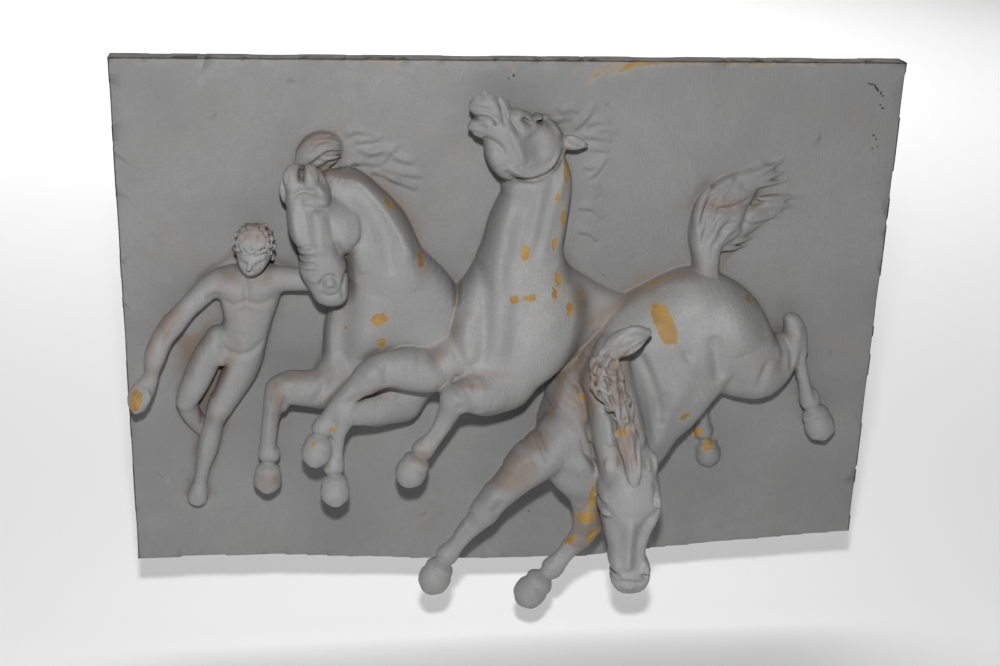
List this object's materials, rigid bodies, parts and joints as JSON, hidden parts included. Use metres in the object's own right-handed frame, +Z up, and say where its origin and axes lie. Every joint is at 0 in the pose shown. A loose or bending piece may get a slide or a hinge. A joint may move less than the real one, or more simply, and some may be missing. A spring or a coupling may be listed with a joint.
{
  "type": "high-relief wall plaque",
  "caption": "Wall plaque cast in one piece: three running horses and a groom in high relief on a plain rectangular panel, with hooves and one head reaching past its lower edge",
  "frame": {"origin": "centre of the flat back of the panel, which goes against the wall", "axes": "+X along the panel's width, +Z up the panel, +Y out of the flat back into the wall, so that the relief faces -Y; millimetres in the source, metres in the record"},
  "size_m": [1, 0.2174, 0.7301],
  "materials": {
    "grey_coated_cast": "matt light-grey coat over a cast body, mottled and dusty, flaked to an ochre layer in places"
  },
  "bodies": {
    "root": {"relief_plaque": "grey_coated_cast"}
  },
  "joints": []
}
